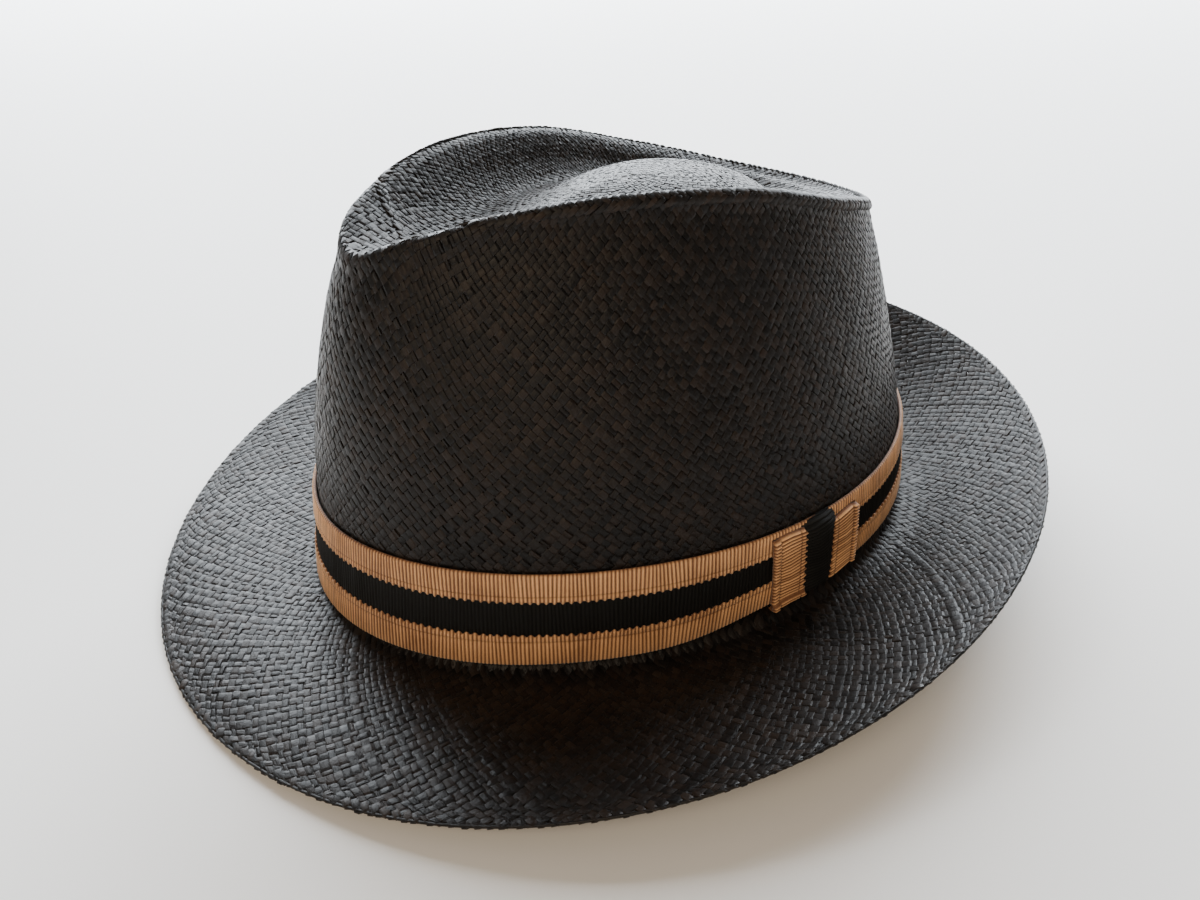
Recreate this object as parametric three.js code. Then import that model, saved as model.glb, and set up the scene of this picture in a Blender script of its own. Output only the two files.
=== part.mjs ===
// A black woven straw hat: a teardrop crown with a snap brim, a three-stripe ribbon round the crown
// and a flat keeper of the same ribbon on the wearer's left. Lengths are in millimetres, +Z is up,
// the front of the hat is -Y and the wearer's left is +X. The origin is under the middle of the
// brim, on the plane z = 0 that the hat stands on.
import * as THREE from "three";

// Straw
const strawThickness = 2.0;
const baseLength = 206.4;
const baseWidth = 170.6;
const baseNarrowing = 0.1;
const baseShift = 4.2;
const footRadius = 2.5;
const restWidth = 4.0;

// Crown
const crownHeight = 118.5;
const domeHeight = 108.6;
const domeShift = 21.5;
const trenchDepth = 12.5;
const ridgeLength = 173;
const ridgeWidth = 97;
const ridgeShift = 12.4;
const ridgeNarrowing = 0.236;
const ridgeRoll = 4.0;

// Brim
const brimLength = 290.6;
const brimWidth = 271;
const brimShift = -0.5;
const brimLift = 29.5;
const brimArch = 1.6;
const edgeNose = 0.7;

// Ribbon
const ribbonThickness = 1.0;
const ribbonClearance = 0.3;
const ribbonStart = 0.2;
const lowerStripeWidth = 8.9;
const centreStripeWidth = 11.1;
const upperStripeWidth = 8.1;
const seamGap = 0.3;

// Keeper
const keeperAngle = 94;
const keeperStripeWidth = 10.9;
const keeperCentreWidth = 10.4;
const keeperOverhang = 0.9;
const keeperTuck = 0.5;
const keeperSwell = 0.6;

// Stations from the front round to the back, in degrees. ridge is the height of the crown's top
// edge as a share of crownHeight, lift the height of the brim's edge as a share of brimLift,
// trench the depth of the dent inside the top edge as a share of trenchDepth.
const stations = [
  { angle: 0, ridge: 0.9, lift: 0.0, trench: 0.56 },
  { angle: 30, ridge: 0.942, lift: 0.08, trench: 0.85 },
  { angle: 60, ridge: 1.0, lift: 0.31, trench: 1.0 },
  { angle: 90, ridge: 0.972, lift: 0.61, trench: 0.95 },
  { angle: 120, ridge: 0.871, lift: 0.86, trench: 0.85 },
  { angle: 150, ridge: 0.787, lift: 0.98, trench: 0.78 },
  { angle: 180, ridge: 0.76, lift: 1.0, trench: 0.75 },
];

// Rings of the dished top, from its middle outwards. reach is the share of the way to the top edge,
// trench the share of the dent's depth there at the sides and back, frontTrench the same at the front.
const dishRings = [
  { reach: 0.18, trench: 0.02, frontTrench: 0.12 },
  { reach: 0.35, trench: 0.12, frontTrench: 0.46 },
  { reach: 0.5, trench: 0.37, frontTrench: 0.82 },
  { reach: 0.63, trench: 0.77, frontTrench: 0.98 },
  { reach: 0.76, trench: 1.0, frontTrench: 1.0 },
  { reach: 0.87, trench: 0.7, frontTrench: 0.68 },
  { reach: 0.95, trench: 0.22, frontTrench: 0.22 },
  { reach: 1.0, trench: 0.0, frontTrench: 0.0 },
];

// Rings over the rolled top edge. out and drop are shares of ridgeRoll, from the inside outwards.
const ridgeRings = [
  { out: -0.55, drop: 0.22 },
  { out: 0.0, drop: 0.0 },
  { out: 0.42, drop: 0.3 },
  { out: 0.65, drop: 1.15 },
];

// Rings down the wall. height is the share of the way from the foot to the rolled edge, the lean
// columns say how far the wall has moved there from the base outline to that edge's outline.
const wallRings = [
  { height: 0.9, endsLean: 0.82, sidesLean: 0.85 },
  { height: 0.77, endsLean: 0.63, sidesLean: 0.65 },
  { height: 0.62, endsLean: 0.45, sidesLean: 0.43 },
  { height: 0.46, endsLean: 0.3, sidesLean: 0.21 },
  { height: 0.28, endsLean: 0.19, sidesLean: 0.04 },
  { height: 0.14, endsLean: 0.1, sidesLean: 0.0 },
  { height: 0.0, endsLean: 0.0, sidesLean: 0.0 },
];

// Rings across the brim. reach is the share of the way from the rest face to the edge, rise the
// share of the edge's lift.
const brimRings = [
  { reach: 0.2, rise: 0.1 },
  { reach: 0.4, rise: 0.27 },
  { reach: 0.6, rise: 0.48 },
  { reach: 0.8, rise: 0.73 },
  { reach: 1.0, rise: 1.0 },
];

const bodyColumns = 64;
const ribbonColumns = 64;
const keeperColumns = 4;
const footHeight = strawThickness + footRadius;

const radians = (degrees) => (degrees * Math.PI) / 180;
const mix = (a, b, share) => a + (b - a) * share;

// Reads one column of a table at any place between its rows, on a smooth curve through them.
function smoothColumn(table, along, column, place, mirrored) {
  const last = table.length - 1;
  let row = 0;
  while (row < last - 1 && (place - table[row + 1][along]) * (table[last][along] - table[0][along]) > 0) {
    row += 1;
  }
  const before = row > 0 ? table[row - 1][column] : table[mirrored ? 1 : 0][column];
  const after = row + 2 <= last ? table[row + 2][column] : table[mirrored ? last - 1 : last][column];
  const start = table[row][column];
  const end = table[row + 1][column];
  const t = (place - table[row][along]) / (table[row + 1][along] - table[row][along]);
  const startSlope = (end - before) / 2;
  const endSlope = (after - start) / 2;
  return (
    start * (2 * t ** 3 - 3 * t ** 2 + 1) +
    startSlope * (t ** 3 - 2 * t ** 2 + t) +
    end * (3 * t ** 2 - 2 * t ** 3) +
    endSlope * (t ** 3 - t ** 2)
  );
}

// The value of a station column at an angle from the front, alike on both sides of the hat.
function atStation(column, angle) {
  const folded = Math.abs(((angle + 180) % 360) - 180);
  return smoothColumn(stations, "angle", column, folded, true);
}

// An egg-shaped outline in plan, narrower at the front.
function oval(length, width, shift, narrowing, angle) {
  const turn = radians(angle);
  const x = (width / 2) * Math.sin(turn) * (1 - narrowing * Math.cos(turn));
  const y = shift - (length / 2) * Math.cos(turn);
  return new THREE.Vector2(x, y);
}

const baseOutline = (angle) => oval(baseLength, baseWidth, baseShift, baseNarrowing, angle);
const ridgeOutline = (angle) => oval(ridgeLength, ridgeWidth, ridgeShift, ridgeNarrowing, angle);
const brimOutline = (angle) => oval(brimLength, brimWidth, brimShift, 0, angle);

// The direction that points out of an outline in plan.
function outwards(outline, angle) {
  const tangent = outline(angle + 0.5).sub(outline(angle - 0.5));
  return new THREE.Vector2(tangent.y, -tangent.x).normalize();
}

// A point of the rolled top edge.
function ridgePoint(angle, ring) {
  const plan = ridgeOutline(angle).addScaledVector(outwards(ridgeOutline, angle), ring.out * ridgeRoll);
  const height = crownHeight * atStation("ridge", angle) - ring.drop * ridgeRoll;
  return new THREE.Vector3(plan.x, plan.y, height);
}

// A point of the dished top: a low dome in the middle and a trench between it and the top edge.
function dishPoint(angle, ring) {
  const rim = ridgePoint(angle, ridgeRings[0]);
  const frontShare = ((1 + Math.cos(radians(angle))) / 2) ** 2;
  const lid = mix(domeHeight, rim.z, ring.reach ** 2);
  const dent = mix(ring.trench, ring.frontTrench, frontShare) * trenchDepth * atStation("trench", angle);
  const x = mix(0, rim.x, ring.reach);
  const y = mix(domeShift, rim.y, ring.reach);
  return new THREE.Vector3(x, y, lid - dent);
}

// A point of the wall's outer face at a share of its height, pushed out by an offset.
function wallPoint(angle, share, offset = 0) {
  const top = ridgePoint(angle, ridgeRings[ridgeRings.length - 1]);
  const foot = baseOutline(angle);
  const sideShare = Math.sin(radians(angle)) ** 2;
  const endsLean = smoothColumn(wallRings, "height", "endsLean", share, false);
  const sidesLean = smoothColumn(wallRings, "height", "sidesLean", share, false);
  const lean = mix(endsLean, sidesLean, sideShare);
  const out = outwards(baseOutline, angle).multiplyScalar(offset);
  const x = mix(foot.x, top.x, lean) + out.x;
  const y = mix(foot.y, top.y, lean) + out.y;
  return new THREE.Vector3(x, y, mix(footHeight, top.z, share));
}

// The same, at a height above the floor.
function wallPointAtHeight(angle, height, offset) {
  const top = ridgePoint(angle, ridgeRings[ridgeRings.length - 1]).z;
  return wallPoint(angle, (height - footHeight) / (top - footHeight), offset);
}

// A point of the curve where the wall turns out into the brim, or of the flat ring beyond it.
function footPoint(angle, turn, run) {
  const out = footRadius * (1 - Math.cos(radians(turn))) + run;
  const plan = baseOutline(angle).addScaledVector(outwards(baseOutline, angle), out);
  const height = footHeight - footRadius * Math.sin(radians(turn));
  return new THREE.Vector3(plan.x, plan.y, height);
}

// A point of the brim's upper face.
function brimPoint(angle, ring) {
  const start = footPoint(angle, 90, restWidth);
  const edge = brimOutline(angle);
  const liftShare = atStation("lift", angle);
  const arch = brimArch * 4 * ring.reach * (1 - ring.reach) * (1 - liftShare);
  const x = mix(start.x, edge.x, ring.reach);
  const y = mix(start.y, edge.y, ring.reach);
  return new THREE.Vector3(x, y, start.z + brimLift * liftShare * ring.rise + arch);
}

// Every ring of the straw's upper and outer face, from the middle of the top to the brim's edge.
// The face under a flat ring is level, so that the hat rests on it.
const bodyRings = [
  ...dishRings.slice(0, -1).map((ring) => ({ point: (angle) => dishPoint(angle, ring) })),
  ...ridgeRings.map((ring) => ({ point: (angle) => ridgePoint(angle, ring) })),
  ...wallRings.map((ring) => ({ point: (angle) => wallPoint(angle, ring.height) })),
  { point: (angle) => footPoint(angle, 45, 0) },
  { point: (angle) => footPoint(angle, 90, 0), flat: true },
  { point: (angle) => footPoint(angle, 90, restWidth), flat: true },
  ...brimRings.map((ring) => ({ point: (angle) => brimPoint(angle, ring) })),
];

// Collects points and triangles, and hands back a closed geometry.
class Shell {
  constructor() {
    this.points = [];
    this.triangles = [];
  }

  add(point) {
    this.points.push(point);
    return this.points.length - 1;
  }

  quad(a, b, c, d) {
    this.triangles.push(a, b, c, a, c, d);
  }

  geometry() {
    const geometry = new THREE.BufferGeometry().setFromPoints(this.points);
    geometry.setIndex(this.triangles);
    geometry.computeVertexNormals();
    return geometry;
  }
}

// Joins two rings of points that both run round the hat.
function joinRings(shell, upper, lower) {
  upper.forEach((point, index) => {
    const next = (index + 1) % upper.length;
    shell.quad(point, lower[index], lower[next], upper[next]);
  });
}

// The straw's outer face as an open sheet, which gives its points and the directions out of it.
function outerSheet() {
  const sheet = new Shell();
  const angles = Array.from({ length: bodyColumns }, (_, column) => (360 * column) / bodyColumns);
  const middle = sheet.add(new THREE.Vector3(0, domeShift, domeHeight));
  const rings = bodyRings.map((ring) => angles.map((angle) => sheet.add(ring.point(angle))));
  rings[0].forEach((point, index) => {
    sheet.triangles.push(middle, point, rings[0][(index + 1) % bodyColumns]);
  });
  for (let row = 1; row < rings.length; row += 1) {
    joinRings(sheet, rings[row - 1], rings[row]);
  }
  return { sheet, middle, rings };
}

// The crown and brim: one wall of woven straw, hollow underneath, with a rounded brim edge.
function strawBody() {
  const { sheet, middle, rings } = outerSheet();
  const normals = sheet.geometry().getAttribute("normal");
  const inward = (index, flat) => {
    const normal = flat ? new THREE.Vector3(0, 0, 1) : new THREE.Vector3().fromBufferAttribute(normals, index);
    return sheet.points[index].clone().addScaledVector(normal, -strawThickness);
  };
  const innerMiddle = sheet.add(inward(middle, false));
  const innerRings = rings.map((ring, row) => ring.map((index) => sheet.add(inward(index, bodyRings[row].flat))));
  innerRings[0].forEach((point, index) => {
    sheet.triangles.push(innerMiddle, innerRings[0][(index + 1) % bodyColumns], point);
  });
  for (let row = 1; row < innerRings.length; row += 1) {
    joinRings(sheet, innerRings[row], innerRings[row - 1]);
  }
  const outerEdge = rings[rings.length - 1];
  const innerEdge = innerRings[innerRings.length - 1];
  const nose = outerEdge.map((index, column) => {
    const out = outwards(brimOutline, (360 * column) / bodyColumns).multiplyScalar(edgeNose);
    const middleOfEdge = sheet.points[index].clone().lerp(sheet.points[innerEdge[column]], 0.5);
    return sheet.add(middleOfEdge.add(new THREE.Vector3(out.x, out.y, 0)));
  });
  joinRings(sheet, outerEdge, nose);
  joinRings(sheet, nose, innerEdge);
  return sheet.geometry();
}

// A strip that lies on the wall. Each row of the profile has a height and the offset of its inner
// face from the straw. The strip is a closed hoop, or an arc with two cut ends.
function wallStrip(profile, angles, closed, thickness) {
  const shell = new Shell();
  const faces = [0, thickness].map((depth) =>
    profile.map((row) => angles.map((angle) => shell.add(wallPointAtHeight(angle, row.height, row.offset + depth)))),
  );
  const [inner, outer] = faces;
  const top = profile.length - 1;
  const steps = closed ? angles.length : angles.length - 1;
  for (let step = 0; step < steps; step += 1) {
    const next = (step + 1) % angles.length;
    for (let row = 0; row < top; row += 1) {
      shell.quad(outer[row][step], outer[row][next], outer[row + 1][next], outer[row + 1][step]);
      shell.quad(inner[row][step], inner[row + 1][step], inner[row + 1][next], inner[row][next]);
    }
    shell.quad(outer[top][step], outer[top][next], inner[top][next], inner[top][step]);
    shell.quad(outer[0][step], inner[0][step], inner[0][next], outer[0][next]);
  }
  if (!closed) {
    const last = angles.length - 1;
    for (let row = 0; row < top; row += 1) {
      shell.quad(outer[row][0], outer[row + 1][0], inner[row + 1][0], inner[row][0]);
      shell.quad(outer[row][last], inner[row][last], inner[row + 1][last], outer[row + 1][last]);
    }
  }
  return shell.geometry();
}

// Heights of the ribbon's stripes, from its lower edge up.
const lowerEdge = footHeight + ribbonStart;
const lowerSeam = lowerEdge + lowerStripeWidth;
const upperSeam = lowerSeam + centreStripeWidth;
const upperEdge = upperSeam + upperStripeWidth;
const onStraw = ribbonClearance;
const onStripes = 2 * ribbonClearance + ribbonThickness;

const centreProfile = [
  { height: lowerSeam + seamGap / 2, offset: onStraw },
  { height: upperSeam - seamGap / 2, offset: onStraw },
];

const lowerProfile = [
  { height: lowerEdge, offset: onStraw },
  { height: lowerSeam - seamGap / 2, offset: onStraw },
];

const upperProfile = [
  { height: upperSeam + seamGap / 2, offset: onStraw },
  { height: upperEdge, offset: onStraw },
];

// The keeper's strips stand on the stripes, reach a little past both edges of the ribbon and tuck
// in there. Each swells a little at mid height.
const keeperProfile = [
  { height: lowerEdge - keeperOverhang, offset: onStripes - keeperTuck },
  { height: lowerEdge - ribbonClearance, offset: onStripes },
  { height: (lowerEdge + upperEdge) / 2, offset: onStripes + keeperSwell },
  { height: upperEdge + ribbonClearance, offset: onStripes },
  { height: upperEdge + keeperOverhang, offset: onStripes - keeperTuck },
];

const hoopAngles = Array.from({ length: ribbonColumns }, (_, column) => (360 * column) / ribbonColumns);

// The angle that lies a given way round the ribbon from a starting angle.
function angleAfter(start, run) {
  const step = 0.05 * Math.sign(run);
  const middle = (lowerEdge + upperEdge) / 2;
  let angle = start;
  let gone = 0;
  while (gone < Math.abs(run)) {
    const here = wallPointAtHeight(angle, middle, onStripes);
    gone += here.distanceTo(wallPointAtHeight(angle + step, middle, onStripes));
    angle += step;
  }
  return angle;
}

// One strip of the keeper, between two distances round the ribbon from the keeper's middle.
function keeperStrip(from, to) {
  const start = angleAfter(keeperAngle, from);
  const end = angleAfter(keeperAngle, to);
  const angles = Array.from({ length: keeperColumns + 1 }, (_, column) => mix(start, end, column / keeperColumns));
  return wallStrip(keeperProfile, angles, false, ribbonThickness);
}

const keeperInnerEdge = keeperCentreWidth / 2 + ribbonClearance;
const keeperOuterEdge = keeperInnerEdge + keeperStripeWidth;

const blackStraw = new THREE.MeshStandardMaterial({ color: 0x2a2726, roughness: 0.6, metalness: 0 });
const blackRibbon = new THREE.MeshStandardMaterial({ color: 0x12130f, roughness: 0.75, metalness: 0 });
const tanRibbon = new THREE.MeshStandardMaterial({ color: 0xc79c74, roughness: 0.8, metalness: 0 });

const hat = new THREE.Group();

function addPiece(name, geometry, material) {
  const mesh = new THREE.Mesh(geometry, material);
  mesh.name = name;
  hat.add(mesh);
}

addPiece("straw_body", strawBody(), blackStraw);
addPiece("ribbon_centre", wallStrip(centreProfile, hoopAngles, true, ribbonThickness), blackRibbon);
addPiece("ribbon_lower", wallStrip(lowerProfile, hoopAngles, true, ribbonThickness), tanRibbon);
addPiece("ribbon_upper", wallStrip(upperProfile, hoopAngles, true, ribbonThickness), tanRibbon);
addPiece("keeper_front", keeperStrip(-keeperOuterEdge, -keeperInnerEdge), tanRibbon);
addPiece("keeper_centre", keeperStrip(-keeperCentreWidth / 2, keeperCentreWidth / 2), blackRibbon);
addPiece("keeper_rear", keeperStrip(keeperInnerEdge, keeperOuterEdge), tanRibbon);

export default hat;
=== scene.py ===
# %% [markdown]
# # A black woven straw hat
#
# The hat is made of black dyed straw in a plain weave, from a rosette in the middle of the crown out
# to the edge of the brim. A ribbon of three stripes goes round the crown, and a flat keeper of the
# same ribbon covers its joint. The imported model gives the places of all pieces; this script weaves
# the straw strand by strand and makes the ribbon with its ribs, scallops and thread lines.

import math

import bpy
import numpy as np
from mathutils import Matrix, Vector


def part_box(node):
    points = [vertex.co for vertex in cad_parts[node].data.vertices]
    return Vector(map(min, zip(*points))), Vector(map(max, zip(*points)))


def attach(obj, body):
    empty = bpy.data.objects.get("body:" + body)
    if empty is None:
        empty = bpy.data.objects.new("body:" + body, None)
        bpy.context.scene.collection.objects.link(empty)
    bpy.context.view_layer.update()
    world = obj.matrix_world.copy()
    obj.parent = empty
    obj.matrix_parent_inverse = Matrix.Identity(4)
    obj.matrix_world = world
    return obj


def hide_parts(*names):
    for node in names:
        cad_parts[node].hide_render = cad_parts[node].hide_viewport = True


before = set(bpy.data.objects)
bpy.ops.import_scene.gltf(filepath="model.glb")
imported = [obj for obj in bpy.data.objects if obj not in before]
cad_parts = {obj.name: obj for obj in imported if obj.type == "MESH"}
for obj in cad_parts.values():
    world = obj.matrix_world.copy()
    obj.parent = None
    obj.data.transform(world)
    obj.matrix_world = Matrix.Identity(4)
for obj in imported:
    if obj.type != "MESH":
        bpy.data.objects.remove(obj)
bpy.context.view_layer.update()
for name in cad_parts:
    low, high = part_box(name)
    print(name, [round(1000 * value, 1) for value in (*low, *high)])

# %% [markdown]
# ## The camera
#
# The camera stands in front of the hat and to the wearer's left, a little above the crown. It is
# given by its place and by the directions of the picture's right, its top and its view. The lens is
# a short one, which makes the near side of the brim look large.

# %% Camera
bpy.ops.object.select_all(action="DESELECT")
CAMERA_PLACE = (0.217463, -0.152559, 0.183769)
PICTURE_RIGHT = Vector((0.593681, 0.803682, -0.040489)).normalized()
PICTURE_UP = Vector((-0.406700, 0.343086, 0.846692)).normalized()
SENSOR_WIDTH = 36.0
PICTURE_WIDTH = 1200
FOCAL_PIXELS = 912.5

backwards = PICTURE_RIGHT.cross(PICTURE_UP)
camera_data = bpy.data.cameras.new("camera")
camera_data.sensor_width = SENSOR_WIDTH
camera_data.lens = FOCAL_PIXELS * SENSOR_WIDTH / PICTURE_WIDTH
camera_data.clip_start = 0.01
camera_data.clip_end = 30.0
camera = bpy.data.objects.new("camera", camera_data)
bpy.context.scene.collection.objects.link(camera)
turn = Matrix((PICTURE_RIGHT, PICTURE_UP, backwards)).transposed()
camera.matrix_world = Matrix.Translation(CAMERA_PLACE) @ turn.to_4x4()
bpy.context.scene.camera = camera
print("lens", round(camera_data.lens, 2), "mm")

# %% [markdown]
# ## The shape of the straw
#
# A blocked straw hat is one surface. Here it is described by curves that run from the middle of the
# crown to the edge of the brim, one for each degree round the hat. Every curve goes through the same
# 27 places: the middle of the dented top, the rings of the dent, the rolled top edge, the wall, the
# curve at its foot, the level ring that the hat stands on, and the brim. All lengths are in
# millimetres until a mesh is made.

# %% Sizes and tables of the straw
BASE_LENGTH, BASE_WIDTH, BASE_NARROWING, BASE_SHIFT = 206.4, 170.6, 0.1, 4.2
RIDGE_LENGTH, RIDGE_WIDTH, RIDGE_NARROWING, RIDGE_SHIFT = 173.0, 97.0, 0.236, 12.4
BRIM_LENGTH, BRIM_WIDTH, BRIM_SHIFT = 290.6, 271.0, -0.5
STRAW_THICKNESS, FOOT_RADIUS, REST_WIDTH = 2.0, 2.5, 4.0
CROWN_HEIGHT, DOME_HEIGHT, DOME_SHIFT = 118.5, 109.4, 21.5
TRENCH_DEPTH, RIDGE_ROLL = 12.5, 4.0
BRIM_LIFT, BRIM_ARCH = 29.5, 1.6
FOOT_HEIGHT = STRAW_THICKNESS + FOOT_RADIUS

# Stations from the front round to the back: angle, ridge height, brim lift and trench depth.
STATIONS = np.array([
    (0, 0.903, 0.0, 0.56), (30, 0.956, 0.08, 0.85), (60, 1.0, 0.31, 1.0), (90, 0.972, 0.61, 0.95),
    (120, 0.871, 0.86, 0.85), (150, 0.787, 0.98, 0.78), (180, 0.76, 1.0, 0.75),
])
# Rings of the dented top: reach, trench, trench at the front.
DISH_RINGS = [
    (0.18, 0.02, 0.12), (0.35, 0.12, 0.46), (0.5, 0.37, 0.82), (0.63, 0.77, 0.98),
    (0.76, 1.0, 1.0), (0.87, 0.7, 0.68), (0.95, 0.22, 0.22),
]
# Rings over the rolled top edge: out and drop.
RIDGE_RINGS = [(-0.55, 0.22), (0.0, 0.0), (0.42, 0.3), (0.65, 1.15)]
# Rings down the wall: height, lean at the ends, lean at the sides.
WALL_RINGS = np.array([
    (0.9, 0.82, 0.85), (0.77, 0.63, 0.65), (0.62, 0.45, 0.43), (0.46, 0.3, 0.21),
    (0.28, 0.19, 0.04), (0.14, 0.1, 0.0), (0.0, 0.0, 0.0),
])
# Rings across the brim: reach and rise.
BRIM_RINGS = [(0.2, 0.1), (0.4, 0.27), (0.6, 0.48), (0.8, 0.73), (1.0, 1.0)]


# %% Reading a table on a smooth curve
def smooth_column(places, values, at, mirrored=False):
    """Values at any place, on a smooth curve through the rows of a table."""
    sign = 1.0 if places[-1] > places[0] else -1.0
    places, at = sign * np.asarray(places, float), sign * np.asarray(at, float)
    row = np.clip(np.searchsorted(places, at, "right") - 1, 0, len(places) - 2)
    ghost_start = values[1] if mirrored else values[0]
    ghost_end = values[-2] if mirrored else values[-1]
    longer = np.concatenate([[ghost_start], values, [ghost_end]])
    before, start, end, after = (longer[row + step] for step in range(4))
    t = (at - places[row]) / (places[row + 1] - places[row])
    return (
        start * (2 * t**3 - 3 * t**2 + 1)
        + (end - before) / 2 * (t**3 - 2 * t**2 + t)
        + end * (3 * t**2 - 2 * t**3)
        + (after - start) / 2 * (t**3 - t**2)
    )


def at_station(column, angle):
    """The ridge, lift or trench share at an angle from the front, alike on both sides."""
    folded = np.abs((np.asarray(angle, float) + 180) % 360 - 180)
    return smooth_column(STATIONS[:, 0], STATIONS[:, column], folded, mirrored=True)


RIDGE, LIFT, TRENCH = 1, 2, 3


# %% Outlines in plan
def oval(length, width, shift, narrowing, angle):
    """An egg-shaped outline, narrower at the front."""
    turn = np.radians(angle)
    x = width / 2 * np.sin(turn) * (1 - narrowing * np.cos(turn))
    return np.stack([x, shift - length / 2 * np.cos(turn)], -1)


def base_outline(angle):
    return oval(BASE_LENGTH, BASE_WIDTH, BASE_SHIFT, BASE_NARROWING, angle)


def ridge_outline(angle):
    return oval(RIDGE_LENGTH, RIDGE_WIDTH, RIDGE_SHIFT, RIDGE_NARROWING, angle)


def brim_outline(angle):
    return oval(BRIM_LENGTH, BRIM_WIDTH, BRIM_SHIFT, 0.0, angle)


def outwards(outline, angle):
    """The direction that points out of an outline in plan."""
    tangent = outline(angle + 0.5) - outline(angle - 0.5)
    out = np.stack([tangent[..., 1], -tangent[..., 0]], -1)
    return out / np.linalg.norm(out, axis=-1, keepdims=True)


def mix(a, b, share):
    return a + (b - a) * share


def place(plan, height):
    return np.concatenate([plan, np.asarray(height)[..., None]], -1)


# %% Rings of the straw's outer face
def ridge_ring(angle, out, drop):
    plan = ridge_outline(angle) + out * RIDGE_ROLL * outwards(ridge_outline, angle)
    return place(plan, CROWN_HEIGHT * at_station(RIDGE, angle) - drop * RIDGE_ROLL)


def dish_ring(angle, reach, trench, front_trench):
    rim = ridge_ring(angle, *RIDGE_RINGS[0])
    front_share = ((1 + np.cos(np.radians(angle))) / 2) ** 2
    lid = mix(DOME_HEIGHT, rim[..., 2], reach**2)
    dent = mix(trench, front_trench, front_share) * TRENCH_DEPTH * at_station(TRENCH, angle)
    middle = np.array([0.0, DOME_SHIFT])
    return place(mix(middle, rim[..., :2], reach), lid - dent)


def wall_ring(angle, share, offset=0.0):
    top = ridge_ring(angle, *RIDGE_RINGS[-1])
    side_share = np.sin(np.radians(angle)) ** 2
    ends_lean = smooth_column(WALL_RINGS[:, 0], WALL_RINGS[:, 1], share)
    sides_lean = smooth_column(WALL_RINGS[:, 0], WALL_RINGS[:, 2], share)
    lean = mix(ends_lean, sides_lean, side_share)[..., None]
    out = np.asarray(offset)[..., None] * outwards(base_outline, angle)
    return place(mix(base_outline(angle), top[..., :2], lean) + out, mix(FOOT_HEIGHT, top[..., 2], share))


def foot_ring(angle, turn, run):
    out = FOOT_RADIUS * (1 - math.cos(math.radians(turn))) + run
    plan = base_outline(angle) + out * outwards(base_outline, angle)
    height = FOOT_HEIGHT - FOOT_RADIUS * math.sin(math.radians(turn))
    return place(plan, np.full(np.shape(angle), height))


def brim_ring(angle, reach, rise):
    start = foot_ring(angle, 90, REST_WIDTH)
    lift = at_station(LIFT, angle)
    arch = BRIM_ARCH * 4 * reach * (1 - reach) * (1 - lift)
    plan = mix(start[..., :2], brim_outline(angle), reach)
    return place(plan, start[..., 2] + BRIM_LIFT * lift * rise + arch)


# %% The curves from the middle of the crown to the edge of the brim
CURVES = 360
SAMPLES_BETWEEN = 10
around = np.arange(CURVES) * 360.0 / CURVES
middle = np.tile([0.0, DOME_SHIFT, DOME_HEIGHT], (CURVES, 1))
places = np.stack(
    [middle]
    + [dish_ring(around, *ring) for ring in DISH_RINGS]
    + [ridge_ring(around, *ring) for ring in RIDGE_RINGS]
    + [wall_ring(around, np.full(CURVES, ring[0])) for ring in WALL_RINGS]
    + [foot_ring(around, 45, 0), foot_ring(around, 90, 0), foot_ring(around, 90, REST_WIDTH)]
    + [brim_ring(around, *ring) for ring in BRIM_RINGS],
    axis=1,
)
# Numbers of the places that the weave starts or ends at.
CREST_PLACE, WALL_FOOT_PLACE, EDGE_PLACE = 9, 18, 26


def smooth_curves(controls):
    """Samples on smooth curves through the places."""
    opposite = np.roll(controls[:, 1], CURVES // 2, axis=0)
    beyond = 2 * controls[:, -1] - controls[:, -2]
    longer = np.concatenate([opposite[:, None], controls, beyond[:, None]], 1)
    gaps = np.linalg.norm(np.diff(longer, axis=1), axis=-1, keepdims=True)
    slopes = np.diff(longer, axis=1) / gaps
    tangents = (slopes[:, 1:] * gaps[:, :-1] + slopes[:, :-1] * gaps[:, 1:]) / (gaps[:, 1:] + gaps[:, :-1])
    t = (np.arange(SAMPLES_BETWEEN) / SAMPLES_BETWEEN)[None, None, :, None]
    start, end = controls[:, :-1, None], controls[:, 1:, None]
    run = gaps[:, 1:-1, None]
    rows = (
        start * (2 * t**3 - 3 * t**2 + 1)
        + run * tangents[:, :-1, None] * (t**3 - 2 * t**2 + t)
        + end * (3 * t**2 - 2 * t**3)
        + run * tangents[:, 1:, None] * (t**3 - t**2)
    )
    rows = rows.reshape(CURVES, -1, 3)
    return np.concatenate([rows, controls[:, -1:]], 1)


curves = smooth_curves(places)
place_numbers = np.arange(curves.shape[1]) / SAMPLES_BETWEEN
steps = np.linalg.norm(np.diff(curves, axis=1), axis=-1)
way_out = np.concatenate([np.zeros((CURVES, 1)), np.cumsum(steps, 1)], 1)

across = np.roll(curves, -1, 0) - np.roll(curves, 1, 0)
along = np.gradient(curves, axis=1)
normals = np.cross(along, across)
normals[:, 0] = (0, 0, 1)
normals /= np.linalg.norm(normals, axis=-1, keepdims=True)
print("way from the middle to the edge:", way_out[:, -1].min().round(1), "to", way_out[:, -1].max().round(1))


def way_to(number):
    """How far out a place lies on every curve. The place may differ from curve to curve."""
    number = np.broadcast_to(number, CURVES)
    return np.array([np.interp(number[c], place_numbers, way_out[c]) for c in range(CURVES)])


# %% [markdown]
# ## Zones of the weave
#
# The straw is woven in rings. A zone is a part of the surface between two of them, with its rows
# counted outwards. For every degree of the way round and every quarter of a row it keeps the point
# of the surface and the direction out of it, so that a strand only has to ask for a turn and a row.
# Each row is shared out evenly by its length, so that strands are as wide at the narrow front of
# the crown as at its sides.

# %% A zone of the weave
QUARTERS = 4
SPARE_ROWS = 3


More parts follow.
